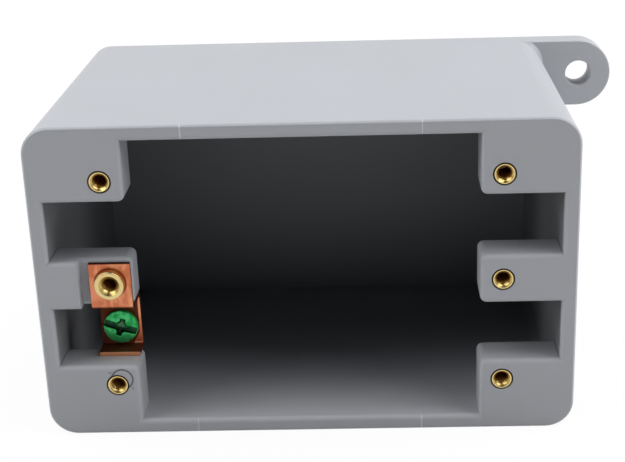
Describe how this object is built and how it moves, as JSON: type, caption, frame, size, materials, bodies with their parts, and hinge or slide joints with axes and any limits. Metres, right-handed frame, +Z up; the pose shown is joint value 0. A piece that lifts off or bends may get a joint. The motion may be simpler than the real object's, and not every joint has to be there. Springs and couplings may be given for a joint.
{
  "type": "device box",
  "caption": "Deep, open-fronted moulded wiring box with threaded screw bosses inside its rim, wall lugs on a diagonal, a copper ground strap and a green ground screw.",
  "frame": {"origin": "centre of the back face, on the wall, midway between the holes of the wall lugs", "axes": "+X along the box, +Y back into the wall, +Z up as the box stands on its long side; the open rim faces -Y"},
  "size_m": [0.149, 0.0762, 0.0702],
  "materials": {
    "pvc": "moulded grey PVC with a slight sheen",
    "brass": "turned brass",
    "copper": "rolled copper strip",
    "green_plating": "green dyed plating"
  },
  "bodies": {
    "box": {"box_body": "pvc", "cover_insert_top_left": "brass", "cover_insert_top_right": "brass", "cover_insert_bottom_left": "brass", "cover_insert_bottom_right": "brass", "device_insert": "brass", "ground_bush": "brass", "ground_strap": "copper"},
    "screw": {"ground_screw": "green_plating"}
  },
  "joints": [
    {"name": "ground_screw_turn", "type": "hinge", "parent": "box", "child": "screw", "pos_m": [-0.04167, -0.0665, -0.0133], "axis": [0, -1, 0], "range_deg": [0, 1260]}
  ]
}
